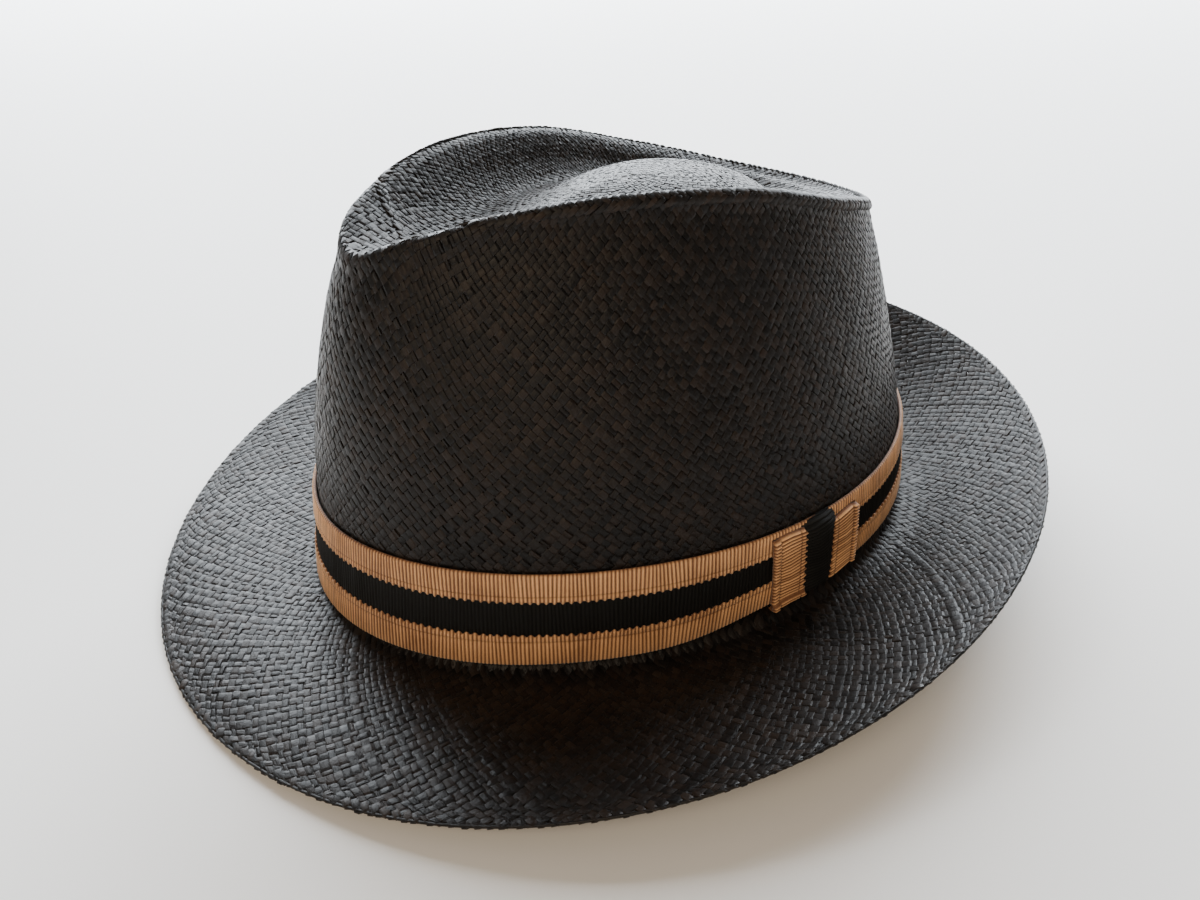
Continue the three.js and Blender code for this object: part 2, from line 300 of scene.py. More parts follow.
class Zone:
    """Rows of weave on the straw. ways gives how far out each row lies on every curve."""

    def __init__(self, rows, ways):
        self.rows = rows
        numbers = np.arange(-SPARE_ROWS * QUARTERS, (rows + SPARE_ROWS) * QUARTERS + 1) / QUARTERS
        wanted = np.stack([ways(number) for number in numbers], 1)
        grid = np.empty((CURVES + 1, len(numbers), 6))
        for curve in range(CURVES):
            for axis in range(3):
                grid[curve, :, axis] = np.interp(wanted[curve], way_out[curve], curves[curve, :, axis])
                grid[curve, :, axis + 3] = np.interp(wanted[curve], way_out[curve], normals[curve, :, axis])
        grid[CURVES] = grid[0]
        shares = np.arange(CURVES) / CURVES
        even = np.empty((CURVES, len(numbers), 6))
        for number in range(len(numbers)):
            step = np.linalg.norm(np.diff(grid[:, number, :3], axis=0), axis=-1) + 1e-6
            way = np.concatenate([[0], np.cumsum(step)])
            for axis in range(6):
                even[:, number, axis] = np.interp(shares, way / way[-1], grid[:, number, axis])
        self.points, self.normals = even[..., :3], even[..., 3:]

    def at(self, angle, row):
        """Points and directions at any turns, in degrees of the way round, and rows."""
        a = np.asarray(angle) % 360 * CURVES / 360
        r = np.clip((np.asarray(row) + SPARE_ROWS) * QUARTERS, 0, self.points.shape[1] - 1.001)
        a0, r0 = a.astype(int) % CURVES, r.astype(int)
        a1, da, dr = (a0 + 1) % CURVES, (a - np.floor(a))[..., None], (r - r0)[..., None]
        out = []
        for grid in (self.points, self.normals):
            near = mix(grid[a0, r0], grid[a1, r0], da)
            far = mix(grid[a0, r0 + 1], grid[a1, r0 + 1], da)
            out.append(mix(near, far, dr))
        direction = out[1] / np.linalg.norm(out[1], axis=-1, keepdims=True)
        return out[0], direction


# %% [markdown]
# The braided line is a ring of the weave too. It follows the top edge of the crown round the sides
# and the back, just outside the crest, and at the front it leaves the edge and crosses the dent.
# Outside it lie the wall and the brim, inside it the top.

# %% Where the zones lie
# The braided line's place number at angles from the front.
BRAID_ANGLES = [0, 12, 25, 35, 41, 47, 56, 180]
BRAID_PLACES = [5.5, 5.6, 6.05, 7.2, 8.7, 9.7, 10.0, 10.0]
off_front = np.abs((around + 180) % 360 - 180)
braid_way = way_to(np.interp(off_front, BRAID_ANGLES, BRAID_PLACES))
for _ in range(3):
    braid_way = (np.roll(braid_way, 2) + np.roll(braid_way, 1) + braid_way + np.roll(braid_way, -1)
                 + np.roll(braid_way, -2)) / 5
foot_way = way_to(WALL_FOOT_PLACE)
edge_way = way_to(EDGE_PLACE)

# The wall's strands end behind the ribbon, and the brim's begin there.
BEHIND_RIBBON = 6.0
WALL_ROWS = 78
BRIM_START_ROWS, BRIM_ROWS, BORDER_ROWS = 4, 30, 5
BORDER_ROW_STEP = 1.05
seam_way = foot_way - BEHIND_RIBBON
border_way = edge_way - BORDER_ROWS * BORDER_ROW_STEP


def wall_ways(row):
    return mix(braid_way, seam_way, row / WALL_ROWS)


def brim_ways(row):
    """Rows of the brim. They lie closest in the border, where the strands turn along the edge."""
    if row <= BRIM_START_ROWS:
        return mix(seam_way, foot_way, row / BRIM_START_ROWS)
    row -= BRIM_START_ROWS
    return mix(foot_way, border_way, min(row / BRIM_ROWS, 1)) + max(row - BRIM_ROWS, 0) * BORDER_ROW_STEP


wall_zone = Zone(WALL_ROWS, wall_ways)
brim_zone = Zone(BRIM_START_ROWS + BRIM_ROWS + BORDER_ROWS, brim_ways)
# Round the foot the straw is drawn in under the ribbon: rows of the brim, depth.
FOOT_SINKS = np.array([(0, 0.0), (3, 0.6), (5, 0.6), (7, 0.0)])
foot_rows = np.arange(brim_zone.points.shape[1]) / QUARTERS - SPARE_ROWS
brim_zone.points -= brim_zone.normals * np.interp(foot_rows, FOOT_SINKS[:, 0], FOOT_SINKS[:, 1])[:, None]

TOP_RADIUS = 66.0


def top_ways(start, end, rows):
    """Rows of the top between two shares of its radius: round in the middle, like the braid outside."""
    def ways(row):
        share = start + (end - start) * row / rows
        return share * mix(TOP_RADIUS, braid_way, min(max(share, 0.0), 1.0) ** 2)
    return ways


# Each zone of the top: strands each way, rows, and the shares of the radius where it starts and ends.
TOP_ZONES = [(26, 7, 0.075, 0.17), (52, 13, 0.17, 0.34), (104, 22, 0.34, 0.64), (200, 24, 0.64, 1.0)]
top_zones = [Zone(rows, top_ways(start, end, rows)) for count, rows, start, end in TOP_ZONES]

# %% [markdown]
# ## The lattice of strands
#
# The strands of one family lean to the right as they run outwards, and those of the other lean to
# the left. A place on the straw is given by u, counted across the right-leaning strands, and v,
# counted across the left-leaning ones. Where u and v are whole numbers, two strands cross, and the
# right-leaning one is on top where u + v is even. The two families need not have the same number
# of strands: on the wall, the right-leaning ones are narrower and lie flatter.


# %% Ring weave and square weave
class RingWeave:
    """Strands between two rows of a zone. turn_share is the part of each row by which u moves, and
    twist how far the last row is turned forwards at the front and backwards at the back. Floats
    between the two bend_rows follow the curve of the straw."""

    def __init__(self, zone, right_count, left_count, turn_share, twist=0.0, past_end=0.5, bend_rows=(0, 0)):
        self.zone, self.counts, self.turn_share = zone, (right_count, left_count), turn_share
        self.past_end = past_end
        self.row_gain = turn_share / right_count + (1 - turn_share) / left_count
        self.twist, self.bend_rows = twist, bend_rows

    def row_of(self, u, v):
        right_count, left_count = self.counts
        return (v / left_count - u / right_count) / self.row_gain

    def bends(self, u, v):
        return self.bend_rows[0] < self.row_of(u, v) < self.bend_rows[1]

    def locate(self, u, v):
        row = self.row_of(u, v)
        angle = 360.0 * (u + self.turn_share * row) / self.counts[0]
        angle = angle + self.twist * np.cos(np.radians(angle + 10)) * row / self.zone.rows
        return self.zone.at(angle, row)

    def run(self, family, strand):
        """Where a strand starts and ends, counted across the other family."""
        right_count, left_count = self.counts
        rows = np.array([-0.5, self.zone.rows + self.past_end]) * self.row_gain
        if family == 0:
            return left_count * (rows + strand / right_count)
        return right_count * (strand / left_count - rows[::-1])

    def strands(self, family):
        return range(self.counts[family])


class SquareWeave:
    """The rosette in the middle of the crown, where the weaving starts with straight strands."""

    def __init__(self, zone, row_step, pitch, strands, reach):
        self.zone, self.row_step, self.pitch, self.half, self.reach = zone, row_step, pitch, strands // 2, reach
        self.counts = (strands, strands)

    def bends(self, u, v):
        return False

    def locate(self, u, v):
        x, y = (u - v) * self.pitch / math.sqrt(2), (u + v) * self.pitch / math.sqrt(2)
        return self.zone.at(np.degrees(np.arctan2(x, -y)), np.hypot(x, y) / self.row_step)

    def run(self, family, strand):
        reach = math.sqrt(max(self.reach**2 - (strand * self.pitch) ** 2, 1.0)) / self.pitch
        return np.array([-reach, reach])

    def strands(self, family):
        return range(-self.half, self.half + 1)


# %% [markdown]
# ## Strands
#
# A strand is a flat strip with bevelled edges, as wide as its neighbours let it be. Where it goes
# over, it is flat on top across the whole crossing, and it dives steeply at both ends to go
# under. Straw is split by hand, so strands differ in width and tone, and each float lies a little
# tilted. All of that comes from seeded generators.

# %% One family of strands
MM = 0.001
OVER_REACH = 0.43
TOP_SHARE = 0.85
SECTION = ((-1.0, -0.5), (-TOP_SHARE, 0.5), (TOP_SHARE, 0.5), (1.0, -0.5))
ACROSS_MAP = (0.04, 0.27, 0.66, 0.89)


def strand_rows(weave, start, end, strand, family):
    """Places along a strand and how it lies there: 1 on top, -1 underneath."""
    rows = [(start, -1.0)]
    for crossing in range(math.ceil(start + 0.5), math.floor(end - 0.5) + 1):
        if (strand + crossing) % 2 == family:
            bent = weave.bends(*((strand, crossing) if family == 0 else (crossing, strand)))
            reaches = (-OVER_REACH, 0.0, OVER_REACH) if bent else (-OVER_REACH, OVER_REACH)
            rows += [(crossing + reach, 1.0) for reach in reaches]
        else:
            rows.append((crossing, -1.0))
    return rows + [(end, -1.0)]


def strand_family(weave, family, deck, swing, thickness, gap, seed):
    """Corners, faces, tones and maps of every strand of one family.

    deck is the depth of the weave's middle below the outer face, swing how far a strand goes over
    and under it, and gap the share of its width that is left open to each neighbour."""
    random = np.random.default_rng(seed)
    count, other_count = weave.counts[family], weave.counts[1 - family]
    shift = np.clip(0.17 * random.standard_normal(count), -0.33, 0.33)
    shift = shift[:, None] + 0.035 * random.standard_normal((count, other_count))
    tilts = 0.05 * random.standard_normal((count, other_count))
    rises = 0.03 * random.standard_normal((count, other_count)) + 0.035 * random.standard_normal((count, 1))
    tone, float_tone = random.random(count), random.random((count, other_count))

    strands, other, lift, lengths = [], [], [], []
    for strand in weave.strands(family):
        start, end = weave.run(family, strand)
        rows = strand_rows(weave, start, end, strand, family)
        strands += [strand] * len(rows)
        other += [row for row, _ in rows]
        lift += [level for _, level in rows]
        lengths.append(len(rows))
    strands, other, lift = np.array(strands), np.array(other), np.array(lift)
    index, crossing = strands % count, np.round(other).astype(int) % other_count
    low_side = -0.5 + shift[index, crossing] + gap
    high_side = 0.5 + shift[(index + 1) % count, crossing] - gap
    centre, half = (low_side + high_side) / 2, (high_side - low_side) / 2
    on_top = lift > 0
    height = swing * lift + rises[index, crossing] * on_top

    corners = []
    for side, level in SECTION:
        here = strands + centre + side * half
        point, direction = weave.locate(*((here, other) if family == 0 else (other, here)))
        rising = height + level * thickness + side * tilts[index, crossing] * on_top
        corners.append(point + direction * (rising - deck)[:, None])
    corners = np.stack(corners, 1)

    offsets = np.cumsum([0] + lengths)
    faces, shares = [], np.empty(len(strands))
    for start, end in zip(offsets[:-1], offsets[1:]):
        rows = np.arange(start, end)
        shares[rows] = (other[rows] - other[start]) / (other[end - 1] - other[start])
        ring = 4 * rows[:, None] + np.arange(4)
        near, far = ring[:-1], ring[1:]
        sides = [np.stack([near[:, k], near[:, (k + 1) % 4], far[:, (k + 1) % 4], far[:, k]], -1) for k in range(4)]
        faces += sides + [ring[:1, ::-1], ring[-1:]]
    faces = np.concatenate(faces)
    if family == 0:
        faces = faces[:, ::-1]

    tones = np.stack([tone[index], float_tone[index, crossing], 0.5 + 0.5 * lift], -1)
    tones = np.repeat(tones[:, None], 4, 1)
    flat = np.zeros((len(strands), 4, 2))
    flat[..., 0] = (index[:, None] + np.array(ACROSS_MAP)) / count
    flat[..., 1] = shares[:, None]
    way = np.linalg.norm(np.diff(corners[:, 1], axis=0, prepend=corners[:1, 1]), axis=-1).cumsum()
    fibre = np.zeros((len(strands), 4, 2))
    fibre[..., 0] = index[:, None] * 7.3 + np.array(ACROSS_MAP)
    fibre[..., 1] = way[:, None]
    return [part.reshape(-1, part.shape[-1]) for part in (corners, faces, tones, flat, fibre)]


# %% Making a piece from arrays
ROUND_SHARE = 0.4


def link(mesh):
    piece = bpy.data.objects.new(mesh.name, mesh)
    bpy.context.scene.collection.objects.link(piece)
    print(mesh.name, sum(len(face.vertices) - 2 for face in mesh.polygons), "triangles")
    return piece


def corner_map(mesh, name, flat):
    """A UV map that is given by corner, and so has no seams of its own."""
    layer = mesh.uv_layers.new(name=name)
    loop_corner = np.empty(len(mesh.loops), int)
    mesh.loops.foreach_get("vertex_index", loop_corner)
    layer.data.foreach_set("uv", flat[loop_corner].astype(np.float32).ravel())


def flatten_shading(mesh):
    """Straw is flat with soft edges, so its shading lies between that of its faces and a round one."""
    corner, size = np.empty(len(mesh.loops), int), np.empty(len(mesh.polygons), int)
    flat, round_one = np.empty(3 * len(mesh.polygons)), np.empty(3 * len(mesh.vertices))
    mesh.loops.foreach_get("vertex_index", corner)
    mesh.polygons.foreach_get("loop_total", size)
    mesh.polygons.foreach_get("normal", flat)
    mesh.vertices.foreach_get("normal", round_one)
    shaded = mix(flat.reshape(-1, 3).repeat(size, 0), round_one.reshape(-1, 3)[corner], ROUND_SHARE)
    mesh.normals_split_custom_set(shaded / np.linalg.norm(shaded, axis=-1, keepdims=True))


def straw_mesh(name, corners, faces, tones, flat, fibre):
    """A piece of straw at the origin, from corners in millimetres, with its tones and two maps."""
    mesh = bpy.data.meshes.new(name)
    mesh.from_pydata((corners * MM).tolist(), [], faces.tolist())
    layer = mesh.attributes.new("straw_tone", "FLOAT_VECTOR", "POINT")
    layer.data.foreach_set("vector", tones.astype(np.float32).ravel())
    corner_map(mesh, "OFBake", flat)
    corner_map(mesh, "fibre", fibre)
    mesh.shade_smooth()
    flatten_shading(mesh)
    return link(mesh)


def joined(lots):
    """Several lots of arrays as one. The flat maps are stacked side by side."""
    offset, total, out = 0, len(lots), []
    for order, (corners, faces, tones, flat, fibre) in enumerate(lots):
        flat = flat * (1 / total, 1) + (order / total, 0)
        out.append((corners, faces + offset, tones, flat, fibre))
        offset += len(corners)
    return [np.concatenate(parts) for parts in zip(*out)]


# %% Weave the wall and the brim
DECK = 0.62
FAMILIES = ((0, "right"), (1, "left"))
wall_weave = RingWeave(wall_zone, 204, 180, 0.56)
FOOT_BEND_ROWS = (BRIM_START_ROWS - 0.4, BRIM_START_ROWS + 2.4)
brim_weave = RingWeave(brim_zone, 244, 240, 0.5, twist=7.0, past_end=-0.1, bend_rows=FOOT_BEND_ROWS)
WALL_FORMS = [(0.2, 0.46, 0.05), (0.3, 0.3, -0.01)]
straw_pieces = []
for family, side in FAMILIES:
    wall = strand_family(wall_weave, family, DECK, *WALL_FORMS[family], 11 + family)
    straw_pieces.append(straw_mesh(f"straw_wall_{side}_lean", *wall))
    brim = strand_family(brim_weave, family, DECK, 0.17, 0.32, 0.0, 21 + family)
    straw_pieces.append(straw_mesh(f"straw_brim_{side}_lean", *brim))

# %% Weave the top
TOP_FORMS = [(0.2, 0.34), (0.2, 0.34), (0.21, 0.36), (0.21, 0.36)]
CORE_STEP = 0.5
core_zone = Zone(18, lambda row: np.full(CURVES, max(row, 0) * CORE_STEP))
rosette = SquareWeave(core_zone, CORE_STEP, 1.1, 11, 7.0)
for family, side in FAMILIES:
    lots = []
    for order, ((count, *_), zone, (swing, thickness)) in enumerate(zip(TOP_ZONES, top_zones, TOP_FORMS)):
        weave = RingWeave(zone, count, count, 0.5)
        lots.append(strand_family(weave, family, DECK, swing, thickness, 0.03, 41 + 10 * order + family))
    lots.append(strand_family(rosette, family, DECK - 0.15, 0.18, 0.3, 0.01, 81 + family))
    straw_pieces.append(straw_mesh(f"straw_top_{side}_lean", *joined(lots)))

# %% [markdown]
# ## The braided line and the rim
#
# Where the weaver adds strands at the top edge, they make a raised line like a rope: two rows of
# slanted floats that meet in arrow heads. Each float is a short strand that rises out of the weave
# and dips back. At the edge of the brim, a thin strand is laid round and fixes the ends of all
# others.

# %% Floats that are laid on a ring
def laid_floats(zone, middle_row, count, reach, sides, width, rises, thickness, start_turn, seed, front_sink=0.0):
    """A row of short strands along a ring. Each runs from one side of the ring to the other.

    reach is half the length of a float, counted in steps of the row; rises is its height on the way,
    and front_sink how much lower it lies where the line crosses the dent at the front."""
    random = np.random.default_rng(seed)
    t = np.linspace(0, 1, len(rises))
    number = np.arange(count)[:, None]
    jitter = 0.12 * random.standard_normal((count, 1))
    angle = (number + start_turn + jitter + mix(-reach, reach, t)) * 360 / count
    side = mix(sides[0], sides[1], t) + 0.08 * random.standard_normal((count, 1))
    point, direction = zone.at(angle, side + middle_row)
    forward = np.gradient(point, axis=1)
    forward /= np.linalg.norm(forward, axis=-1, keepdims=True)
    sideways = np.cross(direction, forward)
    taper = 1 - 0.3 * np.abs(2 * t - 1) ** 3
    widths = width / 2 * (1 + 0.12 * random.standard_normal((count, 1))) * taper
    rise = np.array(rises) + 0.05 * random.standard_normal((count, 1))
    off_front = np.abs((angle + 180) % 360 - 180)
    rise = rise - front_sink * np.clip((50 - off_front) / 10, 0, 1)
    corners = np.stack([
        point + sideways * (across * widths)[..., None] + direction * (rise + thickness * level)[..., None]
        for across, level in SECTION
    ], 2)
    ring = np.arange(count * len(t) * 4).reshape(count, len(t), 4)
    near, far = ring[:, :-1], ring[:, 1:]
    faces = [
        np.stack([near[..., k], far[..., k], far[..., (k + 1) % 4], near[..., (k + 1) % 4]], -1).reshape(-1, 4)
        for k in range(4)
    ]
    faces += [ring[:, 0], ring[:, -1, ::-1]]
    tones = np.ones((count, len(t), 4, 3))
    tones[..., :2] = random.random((count, 1, 1, 2))
    flat = np.zeros((count, len(t), 4, 2))
    flat[..., 0] = (number[..., None] + np.array(ACROSS_MAP)) / count
    flat[..., 1] = t[None, :, None]
    fibre = np.zeros_like(flat)
    fibre[..., 0] = number[..., None] * 5.1 + np.array(ACROSS_MAP)
    fibre[..., 1] = 4 * t[None, :, None]
    return [part.reshape(-1, part.shape[-1]) for part in (corners, np.concatenate(faces), tones, flat, fibre)]


# %% The braided line
BRAID_STEPS, BRAID_SPARE = 200, 3
braid_zone = Zone(2 * BRAID_SPARE, lambda row: braid_way + row - BRAID_SPARE)
BRAID_RISES = (-0.5, 0.2, 0.42, 0.4, -0.1)
braid = joined([
    laid_floats(braid_zone, BRAID_SPARE, BRAID_STEPS, 0.8, (-2.1, 0.4), 1.65, BRAID_RISES, 0.4, 0.0, 91, 0.45),
    laid_floats(braid_zone, BRAID_SPARE, BRAID_STEPS, 0.8, (2.1, -0.4), 1.65, BRAID_RISES, 0.4, 0.5, 92, 0.45),
])
straw_pieces.append(straw_mesh("straw_braid_line", *braid))

# %% The strands round the edge
RIM_STEPS, RIM_SIDES, RIM_RADIUS = 720, 6, 0.42
RIM_SINK = 0.1
step, side = np.divmod(np.arange(RIM_STEPS * RIM_SIDES), RIM_SIDES)
angle = step * 360.0 / RIM_STEPS
point, direction = brim_zone.at(angle, np.full(len(angle), float(brim_zone.rows)))
inside, _ = brim_zone.at(angle, np.full(len(angle), brim_zone.rows - 1.0))
out = point - inside
out /= np.linalg.norm(out, axis=-1, keepdims=True)
turned = np.radians(side * 360.0 / RIM_SIDES)[:, None]
corners = point - direction * (DECK + RIM_SINK) + RIM_RADIUS * (out * np.cos(turned) + direction * np.sin(turned))
ring = np.arange(len(angle)).reshape(RIM_STEPS, RIM_SIDES)
after, beside = np.roll(ring, -1, 0), np.roll(ring, -1, 1)
faces = np.stack([ring, after, np.roll(after, -1, 1), beside], -1).reshape(-1, 4)
tones = np.tile([0.2, 0.3, 0.6], (len(angle), 1))
flat = np.stack([side / RIM_SIDES, step / RIM_STEPS], -1)
core = [corners, faces, tones, flat, flat * (1, 800)]
RIM_RISES = (-0.75, -0.44, -0.4, -0.44, -0.6)
UNDER_RISES = (-0.7, -0.9, -0.95, -0.9, -0.6)
rim_floats = [
    laid_floats(brim_zone, brim_zone.rows, 330, 0.55, (-2.4, 0.2), 2.1, RIM_RISES, 0.24, 0.0, 95),
    laid_floats(brim_zone, brim_zone.rows, 300, 0.6, (0.2, -2.6), 2.1, UNDER_RISES, 0.3, 0.3, 97),
]
straw_pieces.append(straw_mesh("straw_rim", *joined([core] + rim_floats)))

# %% [markdown]
# ## The ribbon
#
# The ribbon is grosgrain, with fine upright ribs. It has three stripes: a black one, and two tan
# ones that are folded along their outer edges and end in small loops over the black one. Every loop
# is two ribs wide, and a stitched line runs along them. Each stripe is one closed strip: a profile
# from the lower edge up the front and down the back, carried round the crown, with four columns for
# each rib.

# %% A point on the wall, and the way round the ribbon
LOWER_EDGE = FOOT_HEIGHT - 0.3
LOWER_SEAM = LOWER_EDGE + 9.4
UPPER_SEAM = LOWER_SEAM + 11.1
UPPER_EDGE = UPPER_SEAM + 8.1
RIBBON_MIDDLE = (LOWER_EDGE + UPPER_EDGE) / 2
# Angles from the front, and the share of its full width that the ribbon has there.
WIDTH_SHARES = np.array([(0, 1), (55, 1), (70, 0.97), (85, 0.82), (100, 0.79), (120, 0.79), (180, 0.79)])


def on_wall(angle, height, offset):
    """A point on the wall. Towards the back the brim pushes the ribbon up, so it is narrower there."""
    width_share = smooth_column(WIDTH_SHARES[:, 0], WIDTH_SHARES[:, 1], np.abs((angle + 180) % 360 - 180), True)
    height = UPPER_EDGE - (UPPER_EDGE - height) * width_share
    top = ridge_ring(angle, *RIDGE_RINGS[-1])[..., 2]
    return wall_ring(angle, (height - FOOT_HEIGHT) / (top - FOOT_HEIGHT), offset)


turn_angles = np.linspace(0, 360, 1441)
hoop = on_wall(turn_angles, np.full(1441, RIBBON_MIDDLE), 1.6)
hoop_way = np.concatenate([[0], np.cumsum(np.linalg.norm(np.diff(hoop, axis=0), axis=1))])
RIBS = 2 * round(hoop_way[-1] / 2.2)
RIB_STEP = hoop_way[-1] / RIBS
RIB_COLUMNS = 4
print("the ribbon is", round(hoop_way[-1]), "mm long and has", RIBS, "ribs")


def ribbon_angle(way):
    return np.interp(way % hoop_way[-1], hoop_way, turn_angles)


# %% Making a closed strip
def ribbed_piece(name, corners, rib_values, hoop, folds):
    """A closed profile carried along a way. corners is a table: profile rows, then columns.

    rib_values gives for every corner its rib, how far across the stripe it lies, and its relief.
    The flat map lays the strip down in the given number of folds, one above the other."""
    rows, columns = corners.shape[:2]
    number = np.arange(rows * columns).reshape(rows, columns)
    above = np.roll(number, -1, 0)
    if hoop:
        here, there, steps = number, np.roll(number, -1, 1), columns
    else:
        here, there, steps = number[:, :-1], number[:, 1:], columns - 1
    over_here, over_there = (above, np.roll(above, -1, 1)) if hoop else (above[:, :-1], above[:, 1:])
    faces = np.stack([here, there, over_there, over_here], -1).reshape(-1, 4)
    row, column = np.divmod(np.arange(rows * steps), steps)
    fold_steps = math.ceil(steps / folds)
    fold, column = np.divmod(column, fold_steps)
    flat = np.empty((len(faces), 4, 2))
    flat[..., 0] = (column[:, None] + np.array([0.02, 0.98, 0.98, 0.02])) / fold_steps
    flat[..., 1] = (fold[:, None] + (row[:, None] + np.array([0.02, 0.02, 0.98, 0.98])) / rows) / folds
    flat = flat.reshape(-1, 2)
    mesh = bpy.data.meshes.new(name)
    lists = faces.tolist()
    if not hoop:
        lists += [number[::-1, 0].tolist(), number[:, -1].tolist()]
        flat = np.concatenate([flat, np.tile([[0.5, 0.999]], (2 * rows, 1))])
    mesh.from_pydata((corners.reshape(-1, 3) * MM).tolist(), [], lists)
    mesh.uv_layers.new(name="OFBake").data.foreach_set("uv", flat.astype(np.float32).ravel())
    layer = mesh.attributes.new("rib", "FLOAT_VECTOR", "POINT")
    layer.data.foreach_set("vector", rib_values.astype(np.float32).ravel())
    mesh.shade_smooth()
    return link(mesh)


# %% The three stripes
# Rows of a tan stripe: distance from the folded edge, offset from the straw, ribs, loops.
TAN_ROWS = [
    (0.25, 0.3, 0.0, 0), (-0.05, 0.7, 0.3, 0), (0.1, 1.12, 0.7, 0), (0.55, 1.3, 1.0, 0),
    (-2.25, 1.32, 1.0, 0), (-1.85, 1.2, 0.5, 0), (-1.5, 1.36, 1.0, 0), (-0.7, 1.36, 1.0, 0.2),
    (-0.1, 1.34, 0.8, 0.8), (0.12, 1.1, 0.5, 1), (-0.1, 0.8, 0.3, 0.8), (-1.4, 0.3, 0.0, 0),
]
# Rows of the black stripe: height, offset, ribs.
BLACK_ROWS = [
    (LOWER_SEAM - 1.3, 0.2, 0.0), (LOWER_SEAM - 1.0, 0.8, 0.8), (LOWER_SEAM + 1.5, 0.94, 1.0),
    (LOWER_SEAM + 4.5, 1.0, 1.0), (UPPER_SEAM - 1.5, 0.94, 1.0), (UPPER_SEAM + 1.0, 0.8, 0.8),
    (UPPER_SEAM + 1.3, 0.2, 0.0),
]
RIB_RELIEF, LOOP_REACH, RIB_LEAN = 0.27, 0.42, 0.05
columns = np.arange(RIBS * RIB_COLUMNS)
rib_number = columns // RIB_COLUMNS


def smooth_noise(random, count, spread):
    """Smooth random values round a ring, about one in size."""
    values = np.fft.rfft(random.standard_normal(count))
    values *= np.exp(-(np.arange(len(values)) * spread / count) ** 2)
    values = np.fft.irfft(values, count)
    return values / values.std()


def stripe(name, rows, seed):
    """A stripe from its rows: height, offset, ribs and loops."""
    random = np.random.default_rng(seed)
    phase = columns / RIB_COLUMNS
    height, offset, ribs, loops = (np.array(rows)[:, k, None] for k in range(4))
    depth = (1 + 0.2 * random.standard_normal(RIBS))[rib_number]
    reach = (1 + 0.15 * random.standard_normal(RIBS // 2))[rib_number // 2]
    height = height + LOOP_REACH * loops * reach * np.cos(np.pi * (phase - 0.5))
    height = height + 0.12 * smooth_noise(random, len(columns), 300)
    relief = ribs * (0.5 - 0.5 * np.cos(2 * np.pi * phase))
    offset = offset + RIB_RELIEF * (relief - ribs * 0.5) * depth + 0.05 * smooth_noise(random, len(columns), 200)
    wave = 0.22 * smooth_noise(random, len(columns), 40) * (height - rows[0][0]) / 8
    way = columns * RIB_STEP / RIB_COLUMNS + RIB_LEAN * (height - RIBBON_MIDDLE) + wave
    corners = on_wall(ribbon_angle(way), height, offset)
    share = np.broadcast_to((height - rows[0][0]) / 9, corners.shape[:2])
    # The relief is kept for the grosgrain finish, which paints shade into the grooves from it.
    values = np.stack([np.broadcast_to(rib_number, corners.shape[:2]), share, relief], -1)
    return ribbed_piece(name, corners, values, True, 16)


def tan_rows(edge, seam):
    """The rows of a tan stripe at their heights. The upper stripe is the lower one upside down."""
    up = 1 if seam > edge else -1
    width = abs(seam - edge) + 0.25
    rows = [
        (edge + up * (across if number < 4 else width + across), offset, ribs, up * loops)
        for number, (across, offset, ribs, loops) in enumerate(TAN_ROWS)
    ]
    return rows[::up]


ribbon_pieces = [
    (stripe("ribbon_lower_stripe", tan_rows(LOWER_EDGE, LOWER_SEAM), 201), "tan_ribbon"),
    (stripe("ribbon_upper_stripe", tan_rows(UPPER_EDGE, UPPER_SEAM), 202), "tan_ribbon"),
    (stripe("ribbon_centre_stripe", [(*row, 0.0) for row in BLACK_ROWS], 203), "black_ribbon"),
]

# %% [markdown]
# ## The keeper
#
# The keeper is a short piece of the same ribbon, laid over the joint with its stripes upright. So
# its ribs are level. The front tan strip is folded at its outer edge and has a thick hem at its
# lower end; the black middle swells and bends in over the top edge of the ribbon.

# %% The keeper's strips
KEEPER_ANGLE, KEEPER_HALF, TAN_START = 94.0, 16.4, 5.3
KEEPER_ROWS_PER_RIB = 6
# The last of these sharpens the keeper's rib relief, which the grosgrain finish turns into painted shade in the
# grooves.
KEEPER_RELIEF, KEEPER_RIBS, KEEPER_GROOVE_SHADE = 0.5, 0.85, 1.8
# Rows of a tan strip across: distance from the outer edge, offset, ribs, loops.
KEEPER_TAN = [
    (0.3, 1.45, 0.0, 0), (-0.1, 1.9, 0.3, 0), (-0.1, 2.6, 0.6, 0), (0.3, 3.15, 1.0, 0), (1.7, 3.05, 1.0, 0),
    (2.1, 2.5, 0.6, 0), (2.6, 2.6, 1.0, 0), (5.5, 2.7, 1.0, 0), (8.7, 2.7, 1.0, 0), (9.1, 2.55, 0.5, 0),
    (9.5, 2.72, 1.0, 0), (10.4, 2.74, 1.0, 0.2), (10.95, 2.68, 0.8, 0.9), (11.1, 2.4, 0.5, 1),
    (10.9, 2.1, 0.2, 0.8), (9.0, 1.5, 0.0, 0),
]
# Rows of the black strip: distance from the keeper's middle, offset, ribs.
KEEPER_BLACK = [(-6.3, 1.5, 0.0), (-6.3, 1.9, 0.5)] + [
    (6.1 * share, 2.05 + 1.25 * (1 - share * share), 1.0) for share in (-1, -0.75, -0.45, -0.15, 0.15, 0.45, 0.75, 1)
] + [(6.3, 1.9, 0.5), (6.3, 1.5, 0.0)]
